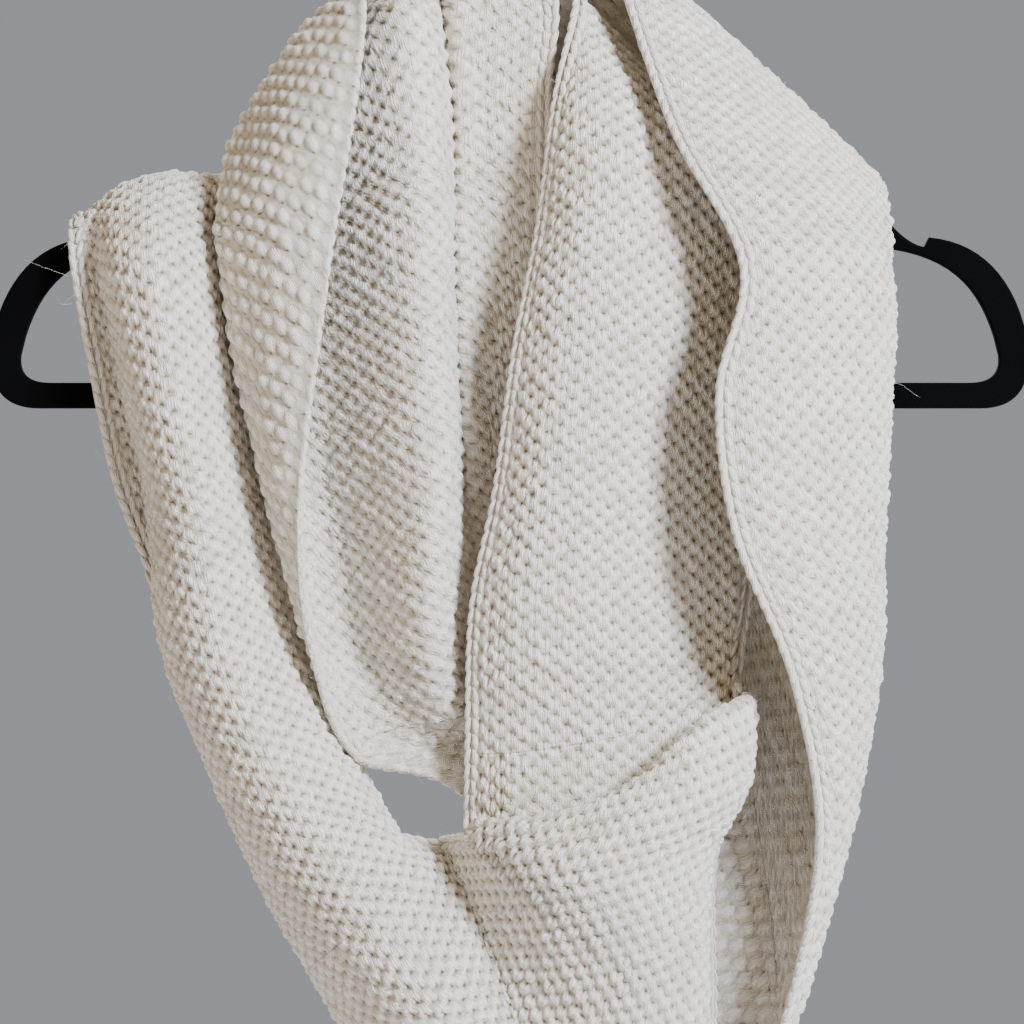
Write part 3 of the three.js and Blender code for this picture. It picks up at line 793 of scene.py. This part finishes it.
# %% [markdown]
# ## Stray fibres
# Spun yarn is never bald: a halo of fine hairs stands off every edge, and a few long ones curl
# away. Each hair is a thin three-sided tube that bends at random as it goes. A fixed seed puts
# them in the same places every time.

# %% Growing the fibres
SEED = 20
HAIR_RADIUS = 0.06 * MM
HAIR_STEPS = 4
HAIR_SIDES = 3
HAIR_TAPER = 0.7
HAIR_SPREAD = 0.8
HAIR_CURL = 0.35
HAIR_RESTLESS = 0.5
ANY_DIRECTION = (0.3, 0.5, 0.8)
# the height puts the hairs near the light end of the painted pit shade
HAIR_LEG = (0, 0, 1.6)  # for the material: no plies, as high as a stitch
# how many on each stretch, shortest, longest
CLOTH_HAIRS = (70, 3 * MM, 8 * MM)
BRAID_HAIRS = (70, 4 * MM, 10 * MM)
LONG_CURL = 0.22
LONG_STEPS = 14
# Long loose ends: stretch, where it starts in mm, heading, length in mm
LONG_FIBRES = [
    ("left_outer_fall", (-188, -16, -172), (-1, -0.2, 0.5), 24),
    ("left_outer_fall", (-188, -14, -182), (-0.9, -0.3, -0.4), 15),
    ("right_outer_fall", (160, -24, -217), (1, -0.3, 0.2), 20),
]
rng = np.random.default_rng(SEED)


def hair(root, heading, length, curl, steps):
    """A curved hair as points, faces and leg coordinates."""
    points = []
    step = length / steps
    place, heading = np.array(root), unit(heading)
    turning = rng.normal(size=3) * curl
    for ring in range(steps + 1):
        sideways = unit(np.cross(heading, ANY_DIRECTION))
        across = np.cross(heading, sideways)
        for k in range(HAIR_SIDES):
            angle = 2 * math.pi * k / HAIR_SIDES
            arm = sideways * math.cos(angle) + across * math.sin(angle)
            points.append(place + arm * HAIR_RADIUS * (1 - HAIR_TAPER * ring / steps))
        place = place + heading * step
        heading = unit(heading + turning + rng.normal(size=3) * curl * HAIR_RESTLESS)
    ends = [(2, 1, 0), tuple(range(len(points) - HAIR_SIDES, len(points)))]
    return points, ends + tube_faces(HAIR_SIDES, steps), [HAIR_LEG] * len(points)


def hairs_on(piece, count, shortest, longest):
    """Hairs that leave a piece of cloth or braid from random points of its surface."""
    mesh = piece.data
    parts = []
    for index in rng.integers(0, len(mesh.vertices), count):
        vertex = mesh.vertices[int(index)]
        heading = np.array(vertex.normal) + rng.normal(size=3) * HAIR_SPREAD
        length = rng.uniform(shortest, longest)
        parts.append(hair(vertex.co, heading, length, HAIR_CURL, HAIR_STEPS))
    return parts


def long_fibres(name, piece):
    spots = np.array([vertex.co for vertex in piece.data.vertices])
    parts = []
    for stretch, start, heading, length in LONG_FIBRES:
        if stretch == name:
            nearest = spots[np.linalg.norm(spots - np.array(start) * MM, axis=1).argmin()]
            parts.append(hair(nearest, np.array(heading), length * MM, LONG_CURL, LONG_STEPS))
    return parts


fibres = {}
for name, (piece, _) in cloth.items():
    parts = hairs_on(piece, *CLOTH_HAIRS) + hairs_on(braids[name], *BRAID_HAIRS)
    fibres[name] = join_parts(name + "_fibres", parts + long_fibres(name, piece))

# %% [markdown]
# ## Chains of nodes
# Every material mixes colours by noise and adds bumps. Each such step is one short function,
# which returns the socket to go on from.

# %% Helpers for materials
def new_material(name):
    """A node material: itself, its nodes, its Principled shader and the object's coordinates."""
    material = bpy.data.materials.new(name)
    material.use_nodes = True
    tree = material.node_tree
    place = add_node(tree, "ShaderNodeTexCoord").outputs["Object"]
    return material, tree, tree.nodes["Principled BSDF"], place


def noise(tree, place, **inputs):
    return add_node(tree, "ShaderNodeTexNoise", Vector=place, **inputs).outputs["Fac"]


def mixed(tree, share, one, other, blend="MIX"):
    """The colour between two colours, or their product for the blend MULTIPLY."""
    settings = {"data_type": "RGBA", "blend_type": blend}
    return add_node(tree, "ShaderNodeMix", settings, i0=share, i6=one, i7=other).outputs[2]


def ranged(tree, value, **limits):
    return add_node(tree, "ShaderNodeMapRange", Value=value, **limits).outputs["Result"]


def maths(tree, operation, *values):
    inputs = {"i%d" % k: value for k, value in enumerate(values)}
    return add_node(tree, "ShaderNodeMath", {"operation": operation}, **inputs).outputs[0]


def bumped(tree, height, strength, distance):
    return add_node(tree, "ShaderNodeBump", Strength=strength, Distance=distance,
                    Height=height).outputs["Normal"]


# %% [markdown]
# ## The yarn
# The yarn is a soft off-white blend, spun from several plies. Its colour is painted almost white
# on top of the strands and painted brown in the pits, as painted shade where little light gets in.
# The plies are a fine slanting ripple along each strand, streaks of noise are its fibres, and a
# small noise is the fuzz.

# %% Material of the yarn
YARN_TOP = 1.8  # height in mm of the lightest colour
# painted shade: darkest in the pits, lightest on the tops of the strands
# share of that height, colour
PAINTED_PIT_SHADE = [(0.0, "#463e34"), (0.25, "#cbc3b4"), (0.55, "#ece7dd"), (1.0, "#fbf8f2")]
WARM_PATCHES = "#f7efe0"
PLY_WIDTH = 0.9
PLY_SLANT = 0.22
PLY_DEPTH = 0.25
FUZZ_DEPTH = 0.9
YARN_BUMP = 0.55 * MM
STREAKS, STREAK_CHANGE = (2.2, 0.45, 1.0), 300.0


def yarn_material():
    material, tree, shader, place = new_material("spun off-white yarn")
    leg = add_node(tree, "ShaderNodeAttribute", {"attribute_name": "leg"}).outputs["Vector"]
    leg_across, leg_along, height = add_node(tree, "ShaderNodeSeparateXYZ", i0=leg).outputs
    # painted shade, darker where the cloth is lower
    shade = add_node(tree, "ShaderNodeValToRGB", Fac=ranged(tree, height, From_Max=YARN_TOP))
    (_, lowest), *between, (_, highest) = PAINTED_PIT_SHADE
    ramp = shade.color_ramp.elements
    ramp[0].color, ramp[1].color = linear(lowest), linear(highest)
    for share, colour in between:
        ramp.new(share).color = linear(colour)
    patches = noise(tree, place, Scale=45.0, Detail=3.0)
    # the painted pit shade, times random patches of the yarn's own tone
    shade_and_patches = mixed(tree, patches, shade.outputs["Color"], linear(WARM_PATCHES), "MULTIPLY")

    up = add_node(tree, "ShaderNodeSeparateXYZ", i0=place).outputs["Z"]
    strand_place = add_node(tree, "ShaderNodeCombineXYZ", X=leg_across, Y=leg_along,
                            Z=maths(tree, "MULTIPLY", up, STREAK_CHANGE))
    stretched = add_node(tree, "ShaderNodeVectorMath", {"operation": "MULTIPLY"},
                         i0=strand_place.outputs[0], i1=STREAKS)
    streaks = noise(tree, stretched.outputs[0], Scale=1.0, Detail=3.0, Roughness=0.55)
    slant = maths(tree, "MULTIPLY_ADD", leg_along, PLY_SLANT, leg_across)
    ply = maths(tree, "SINE", maths(tree, "MULTIPLY", slant, 2 * math.pi / PLY_WIDTH))
    ripple = maths(tree, "MULTIPLY_ADD", ply, PLY_DEPTH, streaks)
    fuzz = noise(tree, place, Scale=1100.0, Detail=4.0, Roughness=0.65)
    fuzzy = maths(tree, "MULTIPLY_ADD", fuzz, FUZZ_DEPTH, ripple)

    lines = ranged(tree, streaks, From_Min=0.35, From_Max=0.62, To_Min=0.8, To_Max=1.0)
    fill_in(tree, shader, Base_Color=mixed(tree, 1.0, shade_and_patches, lines, "MULTIPLY"),
            Normal=bumped(tree, fuzzy, 1.0, YARN_BUMP),
            Roughness=ranged(tree, fuzz, To_Min=0.62, To_Max=0.85),
            IOR=1.5, Sheen_Weight=0.35, Sheen_Roughness=0.4)
    return material


yarn = yarn_material()
for name, (piece, length) in cloth.items():
    for each in (piece, braids[name], fibres[name]):
        each.data.materials.append(yarn)
        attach(each, "root")
    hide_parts(name)

# %% [markdown]
# ## The hanger
# A slim hanger is one moulded plate with round ends, a notch in each arm and rounded edges. A flat
# curve with a little extrusion and a bevel makes such a plate in one step. It follows the same
# curves as the plain plate, drawn more finely.

# %% Shapes of the hanger
# All in mm
HANGER_LENGTH, PLATE_THICKNESS, PLATE_ROUNDING = 445, 6, 1.4
BAR_MIDDLE_Z, NECK_TOP_Z, NECK_HALF_WIDTH, NECK_HEIGHT = -221, -95, 6.5, 8
ARM_SLOPE, ARM_HEIGHT, PEAK_HALF_WIDTH = 0.335, 11.6, 4
PEAK_Z = NECK_TOP_Z - ARM_SLOPE * (PEAK_HALF_WIDTH - NECK_HALF_WIDTH) - ARM_HEIGHT
# start, the two points that pull the curve, end: inwards from the plate's end, up from the bar
PLATE_CURVES = [
    [(20, -5.5), (8, -5.5), (0, 0.5), (0, 14.5)],
    [(0.5, 25.5), (6, 50.5), (20, 65.9), (42.5, 67.9)],
    [(44.5, 63.9), (48.5, 63.9), (55.5, 69.2), (58.5, 73.2)],
]
OPENING_CURVES = [
    [(25.6, 5.5), (15.6, 5.5), (11.6, 9.5), (12.6, 17.5)],
    [(14.6, 25.5), (21.6, 47.5), (33.6, 60.6), (64.5, 63.7)],
]
CURVE_POINTS, ROUNDING_STEPS = 15, 3
SHARP_ANGLE = math.radians(40)


def pulled(start, leave, arrive, end, t):
    """The point at t, from 0 to 1, of a curve pulled by its two middle points."""
    return ((1 - t) ** 3 * start + 3 * (1 - t) ** 2 * t * leave
            + 3 * (1 - t) * t ** 2 * arrive + t ** 3 * end)


def plate_line(curves, *last_corners):
    """The right half of an outline from its curves and corners, and the left half mirrored."""
    half = []
    for pulls in np.array(curves, dtype=float):
        for t in np.linspace(0, 1, CURVE_POINTS):
            inwards, up = pulled(*pulls, t)
            half.append((HANGER_LENGTH / 2 - inwards, BAR_MIDDLE_Z + up))
    half += last_corners
    return half + [(-x, z) for x, z in half[::-1]]


def add_path(curve, points, closed):
    path = curve.splines.new("POLY")
    path.points.add(len(points) - 1)
    path.use_cyclic_u = closed
    for point, place in zip(path.points, points):
        point.co = (*(value * MM for value in place), 1)


def finished_curve(name, curve):
    """Turns a curve into a mesh object, smooth where its faces meet gently."""
    drawn = add_object(name + "_drawn", curve)
    bpy.context.view_layer.update()
    seen = drawn.evaluated_get(bpy.context.evaluated_depsgraph_get())
    mesh = bpy.data.meshes.new_from_object(seen)
    bpy.data.objects.remove(drawn)
    mesh.shade_smooth()
    mesh.set_sharp_from_angle(angle=SHARP_ANGLE)
    print("%s: %d faces" % (name, len(mesh.polygons)))
    return add_object(name, mesh)


def hanger_plate():
    curve = bpy.data.curves.new("hanger_plate_line", "CURVE")
    curve.dimensions, curve.fill_mode = "2D", "BOTH"
    curve.extrude = (PLATE_THICKNESS / 2 - PLATE_ROUNDING) * MM
    curve.bevel_depth, curve.bevel_resolution = PLATE_ROUNDING * MM, ROUNDING_STEPS
    curve.offset = -PLATE_ROUNDING * MM
    neck = [(NECK_HALF_WIDTH, NECK_TOP_Z), (NECK_HALF_WIDTH, NECK_TOP_Z + NECK_HEIGHT)]
    opening = plate_line(OPENING_CURVES, (PEAK_HALF_WIDTH, PEAK_Z))
    for line in (plate_line(PLATE_CURVES, *neck), opening[::-1]):
        add_path(curve, [(x, z, 0) for x, z in line], True)
    piece = finished_curve("hanger_plate", curve)
    turned = [(v.co.x, -v.co.z, v.co.y) for v in piece.data.vertices]
    piece.data.vertices.foreach_set("co", np.array(turned).ravel())
    return piece


# %% [markdown]
# ## The hook
# The hook is bent wire, so it is a path with a round section. It rises straight from the neck,
# leans over in one easy curve and ends in a round bend, open to one side.

# %% Shape of the hook
# In mm, and the sweep in radians
WIRE_RADIUS, HOOK_INNER_RADIUS, HOOK_SWEEP = 2, 21, 1.15 * math.pi
SHANK_START_Z, SHANK_MIDDLE_Z, SHANK_TOP_Z = NECK_TOP_Z + NECK_HEIGHT + 0.3, -60, -44
SHANK_PULL, BEND_PULL = 9, 11
SHANK_POINTS, BEND_POINTS, WIRE_ROUNDING = 16, 48, 6


def hook_wire():
    bend = HOOK_INNER_RADIUS + WIRE_RADIUS
    pulls = np.array([(0, SHANK_TOP_Z), (0, SHANK_TOP_Z + SHANK_PULL),
                      (bend, -HOOK_INNER_RADIUS - BEND_PULL), (bend, -HOOK_INNER_RADIUS)],
                     dtype=float)
    line = [(0, SHANK_START_Z), (0, SHANK_MIDDLE_Z)]
    line += [pulled(*pulls, t) for t in np.linspace(0, 1, SHANK_POINTS)[:-1]]
    line += [(bend * math.cos(angle), bend * math.sin(angle) - HOOK_INNER_RADIUS)
             for angle in np.linspace(0, HOOK_SWEEP, BEND_POINTS)]
    curve = bpy.data.curves.new("hook_line", "CURVE")
    curve.dimensions, curve.use_fill_caps = "3D", True
    curve.bevel_depth, curve.bevel_resolution = WIRE_RADIUS * MM, WIRE_ROUNDING
    add_path(curve, [(x, 0, z) for x, z in line], False)
    return finished_curve("hook_wire", curve)


# %% [markdown]
# ## Flock and plated wire
# Flock is short nylon fibre, shot into glue on the plastic. It stands up like velvet and takes in
# most light. The wire is drawn steel with a thin bright plating and a faint haze from handling.

# %% Materials of the hanger
def flock_material():
    material, tree, shader, place = new_material("black nylon flock on moulded plastic")
    tufts = noise(tree, place, Scale=2200.0, Detail=2.0)
    wear = noise(tree, place, Scale=25.0, Detail=4.0)
    fill_in(tree, shader, Base_Color=mixed(tree, wear, linear("#020202"), linear("#060607")),
            Normal=bumped(tree, tufts, 0.6, 0.15 * MM), Roughness=0.95,
            Specular_IOR_Level=0.05, Sheen_Weight=0.01, Sheen_Roughness=0.5)
    return material


def wire_material():
    material, tree, shader, place = new_material("chromium-plated drawn steel wire")
    haze = noise(tree, place, Scale=300.0, Detail=5.0)
    fill_in(tree, shader, Base_Color=mixed(tree, haze, linear("#b9bcc0"), linear("#d2d4d6")),
            Roughness=ranged(tree, haze, To_Min=0.16, To_Max=0.32), Metallic=1.0)
    return material


HANGER_PIECES = [
    (hanger_plate, "hanger_body", flock_material, "flock"),
    (hook_wire, "hanger_hook", wire_material, "wire"),
]
for make, node, material, slot in HANGER_PIECES:
    piece = make()
    piece.data.materials.append(material())
    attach(piece, "root")
    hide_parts(node)

# %% [markdown]
# ## Studio
# A plain pale floor lies under the hanger, and what is seen behind it is an even grey, like the
# wall in the photograph. One cool light stands in front and to the right, a weak warm one on the
# left, and a third behind. The light from all round is a warm tan, as in the photograph's folds.

# %% Floor, lights and world
FLOOR_HEIGHT = -0.85
FLOOR_RADIUS = 2.2
FLOOR_CORNERS = 96
AIM = (0, 0, -0.3)
# name, place in m, side in m, power in W, colour
LIGHTS = [
    ("key", (1.1, -1.35, 0.5), 0.45, 95, "#e6f0ff"),
    ("fill", (-1.3, -1.2, -0.2), 1.0, 6, "#fff2e2"),
    ("back", (-0.5, 1.5, 0.7), 0.8, 34, "#f3f4ff"),
]
ROOM_LIGHT, WALL_SEEN, WORLD_STRENGTH = "#b29e82", "#93969a", 1.05


def studio_floor():
    turns = [2 * math.pi * k / FLOOR_CORNERS for k in range(FLOOR_CORNERS)]
    rim = [(FLOOR_RADIUS * math.cos(a), FLOOR_RADIUS * math.sin(a), FLOOR_HEIGHT) for a in turns]
    mesh = bpy.data.meshes.new("floor")
    mesh.from_pydata(rim, [], [tuple(range(FLOOR_CORNERS))])
    material, tree, shader, place = new_material("matt painted floor")
    mottle = noise(tree, place, Scale=3.0)
    fill_in(tree, shader, Base_Color=mixed(tree, mottle, linear("#d4d5d8"), linear("#dadbdd")),
            Roughness=0.9)
    mesh.materials.append(material)
    return add_object("floor", mesh)


def area_light(name, place, side, power, colour):
    """A square light, turned towards the middle of the scarf."""
    light = bpy.data.lights.new(name, "AREA")
    light.shape, light.size = "SQUARE", side
    light.energy, light.color = power, linear(colour)[:3]
    lamp = add_object(name, light)
    lamp.location, lamp.visible_camera = place, False
    away = np.array(place) - np.array(AIM)
    lamp.rotation_euler = (math.acos(away[2] / np.linalg.norm(away)), 0,
                           math.atan2(away[1], away[0]) + math.pi / 2)


studio_floor()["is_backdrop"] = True
for row in LIGHTS:
    area_light(*row)
world = bpy.data.worlds.new("studio")
bpy.context.scene.world = world
world.use_nodes = True
tree = world.node_tree
seen = add_node(tree, "ShaderNodeLightPath").outputs["Is Camera Ray"]
fill_in(tree, tree.nodes["Background"], Strength=WORLD_STRENGTH,
        Color=mixed(tree, seen, linear(ROOM_LIGHT), linear(WALL_SEEN)))

# %% [markdown]
# ## The camera
# It stands where the photograph was taken: level, straight in front and 1.5 m away, with the
# top of the scarf and the hook above the frame.

# %% Camera
FRAME_WIDTH = 0.440
CAMERA_PLACE = (0.001, -1.5, -0.271)
SENSOR_WIDTH = 36.0
camera = bpy.data.cameras.new("camera")
camera.sensor_width = SENSOR_WIDTH
camera.lens = SENSOR_WIDTH * -CAMERA_PLACE[1] / FRAME_WIDTH
viewer = add_object("camera", camera)
viewer.location = CAMERA_PLACE
viewer.rotation_euler = (math.pi / 2, 0, 0)
bpy.context.scene.camera = viewer

# %% [markdown]
# ## Sizes and finish
# The last cell counts the triangles.

# %% Sizes and finish
shown = [piece.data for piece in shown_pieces() if piece.type == "MESH"]
for mesh in shown:
    mesh.calc_loop_triangles()
print("triangles shown: %d" % sum(len(mesh.loop_triangles) for mesh in shown))
